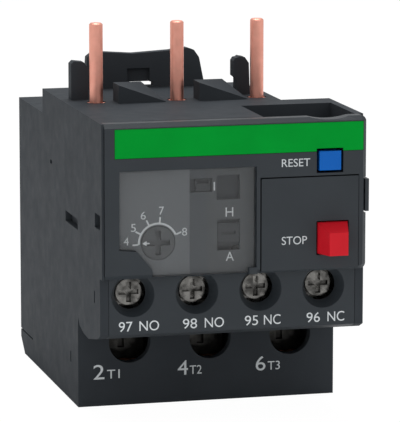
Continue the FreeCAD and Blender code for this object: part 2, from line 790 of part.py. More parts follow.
def colour_stripe():
    """The coloured stripe let into the front cover."""
    gap = D.seat_gap
    stripe = box(
        (STRIPE_LEFT + gap, STRIPE_RIGHT - gap),
        (FRONT + 0.05, FRONT + 0.35),
        (STRIPE_FOOT + gap, STRIPE_TOP - gap),
    )
    return subpart("colour_stripe", cut(stripe, reset_well()))


def button_panel():
    """The insert at the right of the window, with the stop button's opening."""
    outline = rectangle((PANEL_LEFT, PANEL_RIGHT), (PANEL_FOOT, PANEL_TOP))
    margin = 0.2
    opening = rectangle(
        (STOP_X - D.stop_width / 2 - margin, STOP_X + D.stop_width / 2 + margin),
        (STOP_Z - D.stop_height / 2 - margin, STOP_Z + D.stop_height / 2 + margin),
    )
    return subpart("button_panel", plate_body(FRONT + 0.05, COVER_BACK, [outline], holes=[opening]))


def cover_latch():
    """The small latch at the cover's right side."""
    latch = box((RIGHT - 0.25, RIGHT + D.latch_proud), (FRONT + 0.15, FRONT + 6.2), (LATCH_FOOT, LATCH_TOP))
    return subpart("cover_latch", latch)


FLAG_LEFT = LEFT + 19.5
FLAG_RIGHT = FLAG_LEFT + 3.9
FLAG_FOOT = TOP - 13.2
FLAG_TOP = TOP - 9.2
TEST_LEFT = LEFT + 15.0
TEST_RIGHT = TEST_LEFT + 3.75
TEST_FOOT = TOP - 11.85
TEST_TOP = TOP - 9.6
MODE_LEFT = LEFT + 19.6
MODE_RIGHT = MODE_LEFT + 3.8
MODE_FOOT = TOP - 21.6
MODE_TOP = TOP - 16.5
SCALE_FRONT = FRONT + D.scale_setback
SCALE_BACK = SCALE_FRONT + D.scale_thick
FLANGE_FRONT = SCALE_BACK + 0.2
FLANGE_BACK = FLANGE_FRONT + 0.7


def scale_plate():
    """The plate with the dial's scale, and openings for what is set or read there."""
    holes = [
        rectangle((TEST_LEFT, TEST_RIGHT), (TEST_FOOT, TEST_TOP)),
        rectangle((FLAG_LEFT, FLAG_RIGHT), (FLAG_FOOT, FLAG_TOP)),
        rectangle((MODE_LEFT, MODE_RIGHT), (MODE_FOOT, MODE_TOP)),
    ]
    dial_hole = ((DIAL_X, DIAL_Z), D.dial_radius + D.dial_gap)
    outline = window_outline(D.window_gap - D.seat_gap)
    plate = plate_body(SCALE_FRONT, SCALE_BACK, [outline], holes=holes, round_holes=[dial_hole])
    return subpart("scale_plate", plate)


def clear_cover():
    """The clear cover over the settings: its right edge is a barrel with two hinge pins."""
    plate = prism("y", FRONT, FRONT + D.window_thick, window_outline(0, HINGE_X))
    barrel = rod("z", (HINGE_X, HINGE_Y, WINDOW_FOOT), D.window_thick / 2, WINDOW_TOP - WINDOW_FOOT)
    room = box(
        (HINGE_X - D.window_thick / 2 - D.window_gap, WINDOW_RIGHT + 1),
        (FRONT - 1, FRONT + 3),
        (COVER_FOOT, LUG_TOP + D.window_gap),
    )
    pin_length = 0.9
    pins = [
        rod("z", (HINGE_X, HINGE_Y, WINDOW_TOP - 0.1), D.hinge_radius, pin_length),
        rod("z", (HINGE_X, HINGE_Y, LUG_TOP + 0.25 - pin_length), D.hinge_radius, pin_length),
    ]
    return subpart("clear_cover", fuse(cut(fuse(plate, barrel), room), *pins))


def setting_dial():
    """The dial with its cross slot, flange, shaft and the cam that it turns."""
    face_front = SCALE_FRONT - 0.15
    face = rod("y", (DIAL_X, face_front, DIAL_Z), D.dial_radius, FLANGE_FRONT - face_front)
    flange = rod("y", (DIAL_X, FLANGE_FRONT, DIAL_Z), D.dial_flange, FLANGE_BACK - FLANGE_FRONT)
    shaft = rod("y", (DIAL_X, FLANGE_FRONT, DIAL_Z), D.dial_shaft, FRONT + 13.5 - FLANGE_FRONT)
    slots = cross_slots(DIAL_X, face_front, DIAL_Z, 2.0, 0.45, 0.8)
    return subpart("setting_dial", fuse(cut(fuse(face, flange, shaft), *slots), dial_cam()))


CAM_FRONT = FRONT + 5.8
CAM_BACK = CAM_FRONT + 2.0


def dial_cam():
    """The cam: its radius grows evenly over the dial's range, then falls back."""
    sweep = float(D.dial_sweep)
    steps = 16
    corners = []
    for step in range(steps + 1):
        angle = sweep * step / steps
        corners.append((angle, float(D.cam_radius) + float(D.cam_rise) * step / steps))
    for step in range(1, steps):
        angle = sweep + (360 - sweep) * step / steps
        corners.append((angle, float(D.cam_radius) + float(D.cam_rise) * (1 - step / steps)))
    points = []
    for angle, radius in corners:
        reach = FreeCAD.Rotation(V(0, -1, 0), angle).multVec(V(radius, 0, 0))
        points.append(reach + V(float(DIAL_X), float(CAM_FRONT), float(DIAL_Z)))
    rim = Part.BSplineCurve()
    rim.interpolate(Points=points, PeriodicFlag=True)
    cam = DOC.addObject("Part::Feature", fresh("cam"))
    cam.Shape = Part.Face(Part.Wire(rim.toShape())).extrude(V(0, float(CAM_BACK - CAM_FRONT), 0))
    return cam


def test_slider():
    """The slider that is pushed with a screwdriver to try the trip."""
    face = box(
        (TEST_LEFT + 1.0, TEST_RIGHT - 0.3),
        (SCALE_FRONT + 0.2, FLANGE_FRONT + 0.1),
        (TEST_FOOT + 0.15, TEST_TOP - 0.15),
    )
    flange = box(
        (TEST_LEFT - 0.2, TEST_RIGHT + 0.5),
        (FLANGE_FRONT, FLANGE_BACK),
        (TEST_FOOT - 0.3, TEST_TOP + 0.3),
    )
    slot = box(
        (TEST_LEFT + 1.25, TEST_RIGHT - 0.6),
        (FRONT, SCALE_FRONT + 0.9),
        (TEST_TOP - 0.95, TEST_TOP - 0.3),
    )
    return subpart("test_slider", cut(fuse(face, flange), slot))


def mode_selector():
    """The slider that chooses reset by hand or by itself."""
    face = box(
        (MODE_LEFT + 0.1, MODE_RIGHT - 0.1),
        (SCALE_FRONT + 0.1, FLANGE_FRONT + 0.1),
        (MODE_TOP - 3.8, MODE_TOP - 0.6),
    )
    flange = box(
        (MODE_LEFT - 0.6, MODE_RIGHT + 0.6),
        (FLANGE_FRONT, FLANGE_BACK),
        (MODE_TOP - 4.6, MODE_TOP + 0.4),
    )
    grip = box(
        (MODE_LEFT + 0.7, MODE_RIGHT - 0.7),
        (FRONT, SCALE_FRONT + 0.5),
        (MODE_TOP - 2.5, MODE_TOP - 1.9),
    )
    return subpart("mode_selector", cut(fuse(face, flange), grip))


# ---------------------------------------------------------------- buttons

def button_stem(x, z, start):
    """The stem that guides a button in the chamber's rear wall."""
    return rod("y", (x, start, z), D.stem_radius, CHAMBER_BACK + 1.5 - start)


HEAD_BACK = FRONT + 8.0


COLLAR_WIDER = 0.8
COLLAR_DEPTH = (HEAD_BACK - 1.2, HEAD_BACK)


def reset_button():
    """The reset button: a square shaft with a collar and a round stem."""
    half_width = D.reset_width / 2
    height = (RESET_Z - D.reset_height / 2, RESET_Z + D.reset_height / 2)
    head = box(
        (RESET_X - half_width, RESET_X + half_width),
        (FRONT - D.reset_proud, HEAD_BACK),
        height,
    )
    half_collar = half_width + COLLAR_WIDER
    collar = box((RESET_X - half_collar, RESET_X + half_collar), COLLAR_DEPTH, height)
    return subpart("reset_button", fuse(head, collar, button_stem(RESET_X, RESET_Z, HEAD_BACK - 0.1)))


def stop_button():
    """The stop button: a tapered cap on a square shaft."""
    low_x = STOP_X - D.stop_width / 2
    high_x = STOP_X + D.stop_width / 2
    low_z = STOP_Z - D.stop_height / 2
    high_z = STOP_Z + D.stop_height / 2
    cap = loft(
        "y",
        FRONT - D.stop_proud,
        rectangle((low_x + 1.15, high_x - 0.75), (low_z + 0.05, high_z - 1.35)),
        FRONT + 0.1,
        rectangle((low_x, high_x), (low_z, high_z)),
    )
    shaft = box((low_x, high_x), (FRONT + 0.1, HEAD_BACK), (low_z, high_z))
    collar = box((low_x - COLLAR_WIDER, high_x + COLLAR_WIDER), COLLAR_DEPTH, (low_z, high_z))
    stem = button_stem(STOP_X, STOP_Z, HEAD_BACK - 0.1)
    return subpart("stop_button", fuse(cap, shaft, collar, stem))


def button_spring(label, x, z):
    """The spring between a button and the chamber's rear wall."""
    wire = float(D.spring_wire)
    start = float(HEAD_BACK) + wire + 0.05
    length = float(CHAMBER_BACK) - wire - 0.05 - start
    helix = Part.makeHelix(float(D.spring_pitch), length, float(D.spring_radius))
    section = Part.Wire(Part.Circle(V(float(D.spring_radius), 0, 0), V(0, 1, 0), wire).toShape())
    spring = DOC.addObject("Part::Feature", label)
    spring.Shape = Part.Wire(helix.Edges).makePipeShell([section], True, True)
    spring.Placement = FreeCAD.Placement(V(float(x), start, float(z)), TURNS["y"])
    return subpart(label, spring)


# ---------------------------------------------------------------- auxiliary terminals

CAVITY_HALF = D.aux_plate_half + 0.3


def aux_terminal_block():
    """The block of four auxiliary terminals: a funnel and a wire cavity for each."""
    gap = D.seat_gap
    lid = COVER_FOOT + 1.2
    profile = [
        (AUX_FACE, COVER_FOOT - gap),
        (COVER_BACK + gap, COVER_FOOT - gap),
        (COVER_BACK + gap, lid),
        (CHAMBER_BACK - gap, lid),
        (CHAMBER_BACK - gap, AUX_FOOT - D.lip_drop * 0.4),
        (LOWER_FACE - 4.4, AUX_FOOT - D.lip_drop * 0.8),
        (LOWER_FACE - 8.2, AUX_FOOT - D.lip_drop),
        (AUX_FACE + 2.0, AUX_FOOT - D.lip_drop * 0.4),
        (AUX_FACE, AUX_FOOT),
    ]
    solid = prism("x", INNER_LEFT + gap, INNER_RIGHT - gap, profile)
    well_back = AUX_FACE + D.aux_well_depth
    tools = []
    for axis in AUX_AXES:
        tools += [
            funnel(
                "y",
                (axis, AUX_FACE, AUX_LEVEL),
                D.aux_well_radius,
                D.aux_neck_radius,
                D.aux_well_depth,
            ),
            rod("y", (axis, AUX_FACE - 1, AUX_LEVEL), D.aux_neck_radius, D.aux_well_depth + 2),
            box((axis - CAVITY_HALF, axis + CAVITY_HALF), (well_back, FRONT + 13.6), (0, lid + 1)),
        ]
    return subpart("aux_terminal_block", cut(solid, *tools))


def cross_slots(x, front, z, reach, half, deep):
    """The cross and the single slot of a combination screw head."""
    return [
        box((x - reach, x + reach), (front - 1, front + deep), (z - half, z + half)),
        box((x - half, x + half), (front - 1, front + deep), (z - reach, z + reach)),
    ]


def terminal_screw(label, x, z, front, head_radius, head_thick, shank_radius, shank_length):
    """A clamp screw with a pan head, along the depth."""
    head = rod("y", (x, front, z), head_radius, head_thick)
    shank = rod("y", (x, front + head_thick - 0.1, z), shank_radius, shank_length + 0.1)
    slots = cross_slots(x, front, z, head_radius * 0.76, head_radius * 0.18, 1.1)
    return subpart(label, cut(fuse(head, shank), *slots))


def clamp_plate(label, x, half, z, front, thick, hole):
    """The captive clamp under a terminal screw's head."""
    outline = rectangle((x - half, x + half), z)
    middle = (x, (z[0] + z[1]) / 2)
    plate = plate_body(front, front + thick, [outline], round_holes=[(middle, hole)])
    return subpart(label, plate)


def aux_terminals():
    head_back = FRONT + D.aux_head_setback + D.aux_head_thick
    low = AUX_LEVEL - D.aux_plate_half - 0.1
    high = AUX_LEVEL + D.aux_plate_half + 0.1
    for number, axis in enumerate(AUX_AXES, start=1):
        terminal_screw(
            f"aux_screw_{number}", axis, AUX_LEVEL, FRONT + D.aux_head_setback,
            D.aux_head_radius, D.aux_head_thick, D.aux_shank_radius, D.aux_shank_length,
        )
        clamp_plate(
            f"aux_clamp_{number}", axis, D.aux_plate_half, (low, high), head_back + D.seat_gap,
            D.clamp_thick, D.aux_shank_radius + 0.15,
        )


def aux_plate(axis, neck, shelf, extra):
    """A terminal plate: the threaded part, its neck, its shelf and what stands on it."""
    back = PLATE_FRONT + D.plate_thick
    low = AUX_LEVEL - D.aux_plate_half - 0.2
    plate = plate_body(
        PLATE_FRONT, back,
        [rectangle((axis - D.aux_plate_half, axis + D.aux_plate_half), (low, SHELF_FOOT - 0.05))],
        round_holes=[((axis, AUX_LEVEL), D.aux_shank_radius + D.run_gap)],
    )
    neck_part = box(neck, (PLATE_FRONT, LEAF_FRONT + 0.5), (SHELF_FOOT - 0.1, SHELF_TOP))
    shelf_part = box(shelf, (LEAF_FRONT - 0.6, LEAF_BACK + 0.6), (SHELF_FOOT, SHELF_TOP))
    return fuse(plate, neck_part, shelf_part, *extra)


LEAF_FRONT = FRONT + 12.6
LEAF_BACK = LEAF_FRONT + 1.8
LEAF_MIDDLE = (LEAF_FRONT + LEAF_BACK) / 2
NO_LEAF = AUX_AXES[1] - 3.35
NC_LEAF = AUX_AXES[3] - 5.25
RIVET_THICK = 0.5
CONTACT_TRAVEL = 0.9


def rivet(start):
    return rod("x", (start, LEAF_MIDDLE, D.contact_level), 0.8, RIVET_THICK)


def fixed_contact(face, top):
    """A fixed contact strip whose rivet's face looks to one side."""
    return box((face, face + 0.5), (LEAF_FRONT, LEAF_BACK), (SHELF_TOP - 0.1, top))


def aux_plates():
    """The four terminal plates; two of them carry the fixed contacts."""
    first, second, third, fourth = AUX_AXES
    no_face = NO_LEAF + D.leaf_thick + RIVET_THICK * 2 + CONTACT_TRAVEL + 0.05
    nc_face = NC_LEAF - RIVET_THICK * 2 - 0.05 - 0.5
    no_strip = [fixed_contact(no_face, D.contact_level + 1.5), rivet(no_face - RIVET_THICK)]
    nc_strip = [fixed_contact(nc_face, D.contact_level + 1.5), rivet(nc_face + 0.5)]
    plates = [
        (first, (first - 1.8, first + 1.8), (first - 1.8, NO_LEAF + 0.7), []),
        (second, (no_face - 0.6, second + 1.8), (no_face - 0.6, second + 1.8), no_strip),
        (third, (third - 1.8, third + 1.8), (third - 1.8, nc_face + 0.5), nc_strip),
        (fourth, (fourth - 1.8, fourth + 1.8), (NC_LEAF - 0.25, fourth + 1.8), []),
    ]
    for number, (axis, neck, shelf, extra) in enumerate(plates, start=1):
        subpart(f"aux_plate_{number}", aux_plate(axis, neck, shelf, extra))


def contact_leaf(label, x, rivet_start):
    """A contact leaf whose narrow tip stands in the trip bar's slot."""
    leaf = box((x, x + D.leaf_thick), (LEAF_FRONT, LEAF_BACK), (LEAF_FOOT, BAR_TOP + 0.3))
    return subpart(label, fuse(leaf, rivet(rivet_start)))


# ---------------------------------------------------------------- load terminals

def load_terminals():
    head_back = FRONT + D.load_head_setback + D.load_head_thick
    low = D.tunnel_height - 4.8
    high = D.tunnel_height + 4.8
    for number, pole in enumerate(POLES, start=1):
        terminal_screw(
            f"load_screw_{number}", pole, D.tunnel_height, FRONT + D.load_head_setback,
            D.load_head_radius, D.load_head_thick, D.load_shank_radius, D.load_shank_length,
        )
        clamp_plate(
            f"load_clamp_{number}", pole, D.load_plate_half, (low, high), head_back + D.seat_gap,
            D.load_clamp_thick, D.load_shank_radius + 0.15,
        )


LOAD_BAR_FRONT = FRONT + D.load_head_setback + D.load_head_thick + D.load_clamp_thick + 0.35
STRAP_FOOT = 3.0
STRAP_TOP = STRAP_FOOT + D.load_strap_thick


def load_bar(number, pole):
    """A load bar: threaded plate, strap along the floor and the bimetal's foot."""
    back = LOAD_BAR_FRONT + D.load_bar_thick
    half = D.load_plate_half
    plate = plate_body(
        LOAD_BAR_FRONT, back,
        [rectangle((pole - half, pole + half), (STRAP_TOP, D.tunnel_height + 4.8))],
        round_holes=[((pole, D.tunnel_height), D.load_shank_radius + D.run_gap)],
    )
    foot_front = BIMETAL_Y - D.bimetal_width / 2
    foot_back = BIMETAL_Y + D.bimetal_width / 2
    strap = box((pole - 3, pole + 3), (LOAD_BAR_FRONT, foot_back + 1.5), (STRAP_FOOT, STRAP_TOP + 0.05))
    cheek = D.bimetal_thick / 2 + D.free_gap
    cheeks = [
        box((pole - cheek - 1.4, pole - cheek), (foot_front, foot_back), (STRAP_TOP, BIMETAL_PIVOT)),
        box((pole + cheek, pole + cheek + 1.4), (foot_front, foot_back), (STRAP_TOP, BIMETAL_PIVOT)),
    ]
    return subpart(f"load_bar_{number}", fuse(plate, strap, *cheeks))


BIMETAL_PIVOT = 8.4


def line_pin(number, pole):
    """A line pin: straight above the housing, bent back to the winding inside."""
    x = pole - D.pin_offset
    run = PIN_RUN
    bend = D.pin_bend
    tip = 0.25
    shoulder = PIN_SHOULDER
    straight = TOP + D.pin_proud - tip - shoulder
    outside = rod("z", (x, PIN_Y, shoulder - 0.1), D.pin_radius, straight + 0.1)
    point = funnel("z", (x, PIN_Y, TOP + D.pin_proud - tip), D.pin_radius, D.pin_radius - tip, tip)
    inside = rod("z", (x, PIN_Y, run + bend), D.pin_root_radius, shoulder - run - bend)
    level = rod("y", (x, PIN_Y + bend, run), D.pin_root_radius, WINDING_LEAD - PIN_Y - bend)
    elbow = DOC.addObject("Part::Torus", fresh("elbow"))
    elbow.Placement = FreeCAD.Placement(V(), FreeCAD.Rotation(V(-1, 1, -1), 120))
    bind(elbow, "Radius1", bend)
    bind(elbow, "Radius2", D.pin_root_radius)
    elbow.Angle3 = 90
    place(elbow, x, PIN_Y + bend, run + bend)
    return subpart(f"line_pin_{number}", fuse(outside, point, inside, elbow, level))


# ---------------------------------------------------------------- thermal mechanism

WINDING_FRONT = BIMETAL_Y - D.bimetal_width / 2 - 0.5
WINDING_BACK = BIMETAL_Y + D.bimetal_width / 2 + 0.5
WINDING_LEAD = WINDING_FRONT - D.winding_tape
WINDING_FOOT = 12.0


def heater_winding(number, pole):
    """A heater: flat turns around the bimetal, joined at the back, with two leads."""
    tape = D.winding_tape
    low_x = pole - 1.0
    high_x = pole + 1.8
    outer = (low_x - tape, high_x + tape)
    turns = []
    for turn in range(int(float(D.winding_turns))):
        level = WINDING_FOOT + D.winding_pitch * turn
        turns.append(box(outer, (WINDING_FRONT - tape, WINDING_BACK + tape), (level, level + 1.2)))
    top = WINDING_FOOT + D.winding_pitch * (D.winding_turns - 1) + 1.2
    hollow = box((low_x, high_x), (WINDING_FRONT, WINDING_BACK), (0, 60))
    spine = box(
        (pole - 0.4, pole + 1.2),
        (WINDING_BACK + tape - 0.1, WINDING_BACK + tape * 2),
        (WINDING_FOOT, top),
    )
    line_lead = box(
        (pole - D.pin_offset - 1.0, low_x),
        (WINDING_LEAD, WINDING_FRONT - 0.1),
        (top - 1.2, PIN_RUN + 1.2),
    )
    load_lead = box(
        (high_x, high_x + tape),
        (WINDING_FRONT - 1.6, WINDING_FRONT + 0.2),
        (STRAP_TOP + 0.05, WINDING_FOOT + 1.2),
    )
    winding = fuse(cut(fuse(*turns), hollow), spine, line_lead, load_lead)
    return subpart(f"heater_winding_{number}", winding)


def bimetal_strip(number, pole):
    """A bimetal strip: it stands in the load bar's foot and bends to the right."""
    half = D.bimetal_thick / 2
    strip = box(
        (pole - half, pole + half),
        (BIMETAL_Y - D.bimetal_width / 2, BIMETAL_Y + D.bimetal_width / 2),
        (STRAP_TOP + D.free_gap + 0.05, D.bimetal_top),
    )
    return subpart(f"bimetal_strip_{number}", strip)


FIRST_SLIDER_END = POLES[0] - 4.2
LAST_SLIDER_END = POLES[2] + 3.6
PEG_GAP = D.bimetal_thick / 2 + D.free_gap
DIFFERENTIAL_PIVOT_X = POLES[0] - 2.7
MAIN_BAR_BACK = BIMETAL_Y - D.bimetal_width / 2 - 0.7
MAIN_BAR_FRONT = MAIN_BAR_BACK - 2.4
LAG_BAR_FRONT = BIMETAL_Y + D.bimetal_width / 2 + 1.1
LAG_BAR_BACK = LAG_BAR_FRONT + 2.4


def main_slider():
    """The slider that the bimetals push, with its arm into the front chamber."""
    level = (D.slider_level, SLIDER_TOP)
    bar = box((FIRST_SLIDER_END, LAST_SLIDER_END), (MAIN_BAR_FRONT, MAIN_BAR_BACK), level)
    pegs = [
        box((pole + PEG_GAP, pole + PEG_GAP + 1.25), (MAIN_BAR_BACK - 0.1, BIMETAL_Y + 1.0), level)
        for pole in POLES
    ]
    arm_right = STRIP_X - D.strip_thick / 2 - D.free_gap
    arm = box(
        (arm_right - 1.4, arm_right),
        (FRONT + 9.4, MAIN_BAR_FRONT + 0.2),
        (D.slider_level - 1.3, D.slider_level + 0.7),
    )
    pivot = rod("z", (DIFFERENTIAL_PIVOT_X, MAIN_BAR_FRONT + 1.2, SLIDER_TOP - 0.1), 0.7, 1.9)
    return subpart("main_slider", fuse(bar, arm, pivot, *pegs))


def differential_slider():
    """The slider that lags behind when one pole stays cold."""
    level = (D.slider_level, SLIDER_TOP)
    bar = box((FIRST_SLIDER_END + 0.2, LAST_SLIDER_END), (LAG_BAR_FRONT, LAG_BAR_BACK), level)
    pegs = [
        box((pole - PEG_GAP - 1.25, pole - PEG_GAP), (BIMETAL_Y - 1.0, LAG_BAR_FRONT + 0.1), level)
        for pole in POLES
    ]
    pin = rod("z", (DIFFERENTIAL_PIVOT_X, LAG_BAR_FRONT + 1.2, SLIDER_TOP - 0.1), 0.7, 1.9)
    return subpart("differential_slider", fuse(bar, pin, *pegs))


def differential_lever():
    """The lever that joins both sliders and turns when they part."""
    x = DIFFERENTIAL_PIVOT_X
    near = MAIN_BAR_FRONT + 1.2
    far = LAG_BAR_FRONT + 1.2
    level = SLIDER_TOP + 0.3
    plate = box((x - 1.2, x + 1.2), (near - 1.4, far + 1.6), (level, level + 1.2))
    hole = rod("z", (x, near, level - 1), 0.7 + D.run_gap, 4)
    slot = box((x - 0.7 - 0.12, x + 0.7 + 0.12), (far - 1.0, far + 1.0), (level - 1, level + 3))
    return subpart("differential_lever", cut(plate, hole, slot))


def adjusting_slide():
    """The slide between the dial's cam and the compensation strip's pivot."""
    left = DIAL_X + D.cam_radius + 0.2
    y = (CAM_FRONT, CAM_BACK)
    beam = box((left, STRIP_X), y, (DIAL_Z - 1.0, DIAL_Z + 1.0))
    post_part = box((STRIP_X - 0.7, STRIP_X + 0.7), y, (COVER_FOOT + 1.5, D.strip_pivot_level + 1.2))
    stub = rod("y", (STRIP_X, CAM_BACK - 0.1, D.strip_pivot_level), 0.8, FRONT + 11.4 - CAM_BACK + 0.1)
    return subpart("adjusting_slide", fuse(beam, post_part, stub))


LEVER_FRONT = FRONT + 9.2
LEVER_BACK = FRONT + 11.2


def compensation_strip():
    """The strip that takes the surrounding warmth out of the trip, on its pivot."""
    eye = rod("y", (STRIP_X, CAM_BACK + 0.3, D.strip_pivot_level), 1.5, LEVER_BACK - CAM_BACK - 0.3)
    strip = box(
        (STRIP_X - D.strip_thick / 2, STRIP_X + D.strip_thick / 2),
        (LEVER_FRONT, LEVER_BACK),
        (D.strip_tip_level, D.strip_pivot_level),
    )
    hole = rod("y", (STRIP_X, CAM_BACK, D.strip_pivot_level), 0.8 + D.run_gap, 6)
    return subpart("compensation_strip", cut(fuse(eye, strip), hole))


def trip_lever():
    """The lever that the strip turns and that drives the trip bar."""
    tip_x = STRIP_X + D.strip_thick / 2 + D.free_gap + D.cam_rise
    tip_z = D.strip_tip_level + 0.7
    x, z = LEVER_X, D.lever_level
    arm = prism("y", LEVER_FRONT, LEVER_BACK, [
        (tip_x, tip_z - 0.7),
        (tip_x + 1.2, tip_z - 0.7),
        (x + 1.4, z - 1.6),
        (x + 1.2, z + 1.6),
        (x - 1.6, z + 1.4),
        (x - 1.8, z - 0.6),
        (tip_x, tip_z + 0.9),
    ])
    eye = rod("y", (x, LEVER_FRONT, z), 2.0, LEVER_BACK - LEVER_FRONT)
    leg = box((x - 0.8, x + 0.8), (LEVER_FRONT, LEVER_BACK), (LEVER_PIN - 0.8, z))
    tail = box((x, x + 4.6), (LEVER_FRONT, LEVER_BACK), (z + 0.4, z + 1.8))
    pin = rod("y", (x, LEVER_BACK - 0.1, LEVER_PIN), 0.6, BAR_BACK - 0.5 - LEVER_BACK)
    hole = rod("y", (x, LEVER_FRONT - 1, z), 1.0 + D.run_gap, 4)
    return subpart("trip_lever", cut(fuse(arm, eye, leg, tail, pin), hole))


BAR_FRONT = LEAF_FRONT - 0.7
BAR_BACK = LEAF_BACK + 0.7
LEVER_PIN = D.bar_level + D.bar_thick / 2


def trip_bar():
    """The bar that the trip lever moves and that carries both leaves' tips along."""
    bar = box((NO_LEAF - 1.4, NC_LEAF + 1.4), (BAR_FRONT, BAR_BACK), (D.bar_level, BAR_TOP))
    slots = [
        box((leaf - 0.3, leaf + D.leaf_thick + 0.3), (LEAF_FRONT - 0.3, LEAF_BACK + 0.3), (0, 60))
        for leaf in (NO_LEAF, NC_LEAF)
    ]
    pin_slot = box(
        (LEVER_X - 0.75, LEVER_X + 0.75),
        (BAR_FRONT - 1, BAR_BACK - 0.4),
        (LEVER_PIN - 0.95, 60),
    )
    slots.append(pin_slot)
    bridge = box((LEVER_X - 2, LEVER_X + 2), (BAR_BACK - 0.4, BAR_BACK + 0.5), (D.bar_level, BAR_TOP))
    return subpart("trip_bar", fuse(cut(bar, *slots), bridge))


def trip_flag():
    """The flag in the trip window, on an arm from the trip bar."""
    front = FLANGE_FRONT + 0.4
    back = front + 0.8
    flag = box((FLAG_LEFT + 0.1, FLAG_RIGHT + 0.3), (front, back), (BAR_TOP - 0.2, FLAG_TOP + 0.3))
    foot = box((FLAG_LEFT - 1.6, FLAG_RIGHT + 0.3), (front, back), (BAR_TOP - 0.9, BAR_TOP + 0.8))
    arm = box((FLAG_LEFT - 1.6, FLAG_LEFT - 0.4), (front, BAR_FRONT), (BAR_TOP - 0.9, BAR_TOP))
    return subpart("trip_flag", fuse(flag, foot, arm))


# ---------------------------------------------------------------- the whole relay

def build():
    base_housing()
    rear_cover()
    contactor_hook()
    front_cover()
    colour_stripe()
    button_panel()
    cover_latch()
    scale_plate()
    clear_cover()
    setting_dial()
    test_slider()
    mode_selector()
    reset_button()
    stop_button()
    button_spring("reset_spring", RESET_X, RESET_Z)
    button_spring("stop_spring", STOP_X, STOP_Z)
    aux_terminal_block()
    aux_terminals()
    aux_plates()
    contact_leaf("no_contact_leaf", NO_LEAF, NO_LEAF + D.leaf_thick)
    contact_leaf("nc_contact_leaf", NC_LEAF, NC_LEAF - RIVET_THICK)
    load_terminals()
    for number, pole in enumerate(POLES, start=1):
        load_bar(number, pole)
        line_pin(number, pole)
        heater_winding(number, pole)
        bimetal_strip(number, pole)
    main_slider()
    differential_slider()
    differential_lever()
    adjusting_slide()
    compensation_strip()
    trip_lever()
    trip_bar()
    trip_flag()


def check():
    """Stop if any object failed or any sub-part has no valid shape."""
    for item in DOC.Objects:
        if "Invalid" in item.State or "Error" in item.State:
            raise RuntimeError(f"{item.Name} ({item.Label}) failed: {item.State}")
    for part in SUBPARTS:
        if part.Shape.isNull() or not part.Shape.isValid():
            raise RuntimeError(f"{part.Label} has no valid shape")


def export():
    os.makedirs("parts", exist_ok=True)
    for part in SUBPARTS:
        part.Shape.exportStep(f"parts/{part.Label}.step")
        print(part.Label, len(part.Shape.Solids), round(part.Shape.Volume, 2))


build()
DOC.recompute()
check()
export()
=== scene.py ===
import json
import math

import bmesh
import bpy
from mathutils import Matrix, Vector


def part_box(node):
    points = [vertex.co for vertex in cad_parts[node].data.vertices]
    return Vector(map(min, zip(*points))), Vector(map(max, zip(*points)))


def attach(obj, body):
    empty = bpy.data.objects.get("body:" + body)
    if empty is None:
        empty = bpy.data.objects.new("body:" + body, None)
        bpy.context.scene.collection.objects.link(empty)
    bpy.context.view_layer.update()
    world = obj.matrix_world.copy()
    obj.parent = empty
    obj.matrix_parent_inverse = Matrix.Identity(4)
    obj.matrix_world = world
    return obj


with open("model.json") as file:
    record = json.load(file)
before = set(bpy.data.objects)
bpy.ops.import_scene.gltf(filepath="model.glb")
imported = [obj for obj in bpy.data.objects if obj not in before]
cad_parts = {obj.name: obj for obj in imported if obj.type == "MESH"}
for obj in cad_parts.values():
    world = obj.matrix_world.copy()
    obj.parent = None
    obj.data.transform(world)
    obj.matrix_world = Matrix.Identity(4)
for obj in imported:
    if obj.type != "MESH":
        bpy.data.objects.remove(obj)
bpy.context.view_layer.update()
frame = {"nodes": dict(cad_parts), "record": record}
NODES = frame["nodes"]
MM = 0.001


# ---------------------------------------------------------------- materials

class Nodes:
    """A material's node tree with short ways to add and join nodes."""

    def __init__(self, name):
        self.material = bpy.data.materials.new(name)
        self.material.use_nodes = True
        self.tree = self.material.node_tree
        self.shader = self.tree.nodes["Principled BSDF"]
        coordinates = self.add("ShaderNodeTexCoord")
        self.place = coordinates.outputs["Object"]

    def add(self, kind, **settings):
        node = self.tree.nodes.new(kind)
        for name, value in settings.items():
            setattr(node, name, value)
        return node

    def join(self, out, into):
        self.tree.links.new(out, into)

    def noise(self, scale, detail=3.0, stretch=None):
        """Noise in object space, whose scale counts features per metre."""
        node = self.add("ShaderNodeTexNoise")
        node.inputs["Scale"].default_value = scale
        node.inputs["Detail"].default_value = detail
        place = self.place
        if stretch:
            mapping = self.add("ShaderNodeMapping")
            mapping.inputs["Scale"].default_value = stretch
            self.join(place, mapping.inputs["Vector"])
            place = mapping.outputs["Vector"]
        self.join(place, node.inputs["Vector"])
        return node.outputs["Fac"]

    def ramp(self, factor, low, high, start=0.3, end=0.7):
        """Colours from low to high as the factor goes from start to end."""
        node = self.add("ShaderNodeValToRGB")
        first, last = node.color_ramp.elements
        first.position, last.position = start, end
        first.color, last.color = (*low, 1), (*high, 1)
        self.join(factor, node.inputs["Fac"])
        return node.outputs["Color"]

    def spread(self, factor, low, high):
        """A number from low to high as the factor goes from 0.3 to 0.7."""
        node = self.add("ShaderNodeMapRange")
        for name, value in (("From Min", 0.3), ("From Max", 0.7), ("To Min", low), ("To Max", high)):
            node.inputs[name].default_value = value
        self.join(factor, node.inputs["Value"])
        return node.outputs["Result"]

    def bump(self, factor, depth, strength=1.0, under=None):
        """A relief of a depth in metres, laid over another one if that is given."""
        node = self.add("ShaderNodeBump")
        node.inputs["Strength"].default_value = strength
        node.inputs["Distance"].default_value = depth
        self.join(factor, node.inputs["Height"])
        if under:
            self.join(under, node.inputs["Normal"])
        return node.outputs["Normal"]


def scaled(colour, factor):
    """A colour made lighter or darker by a factor."""
    return tuple(min(1.0, part * factor) for part in colour)


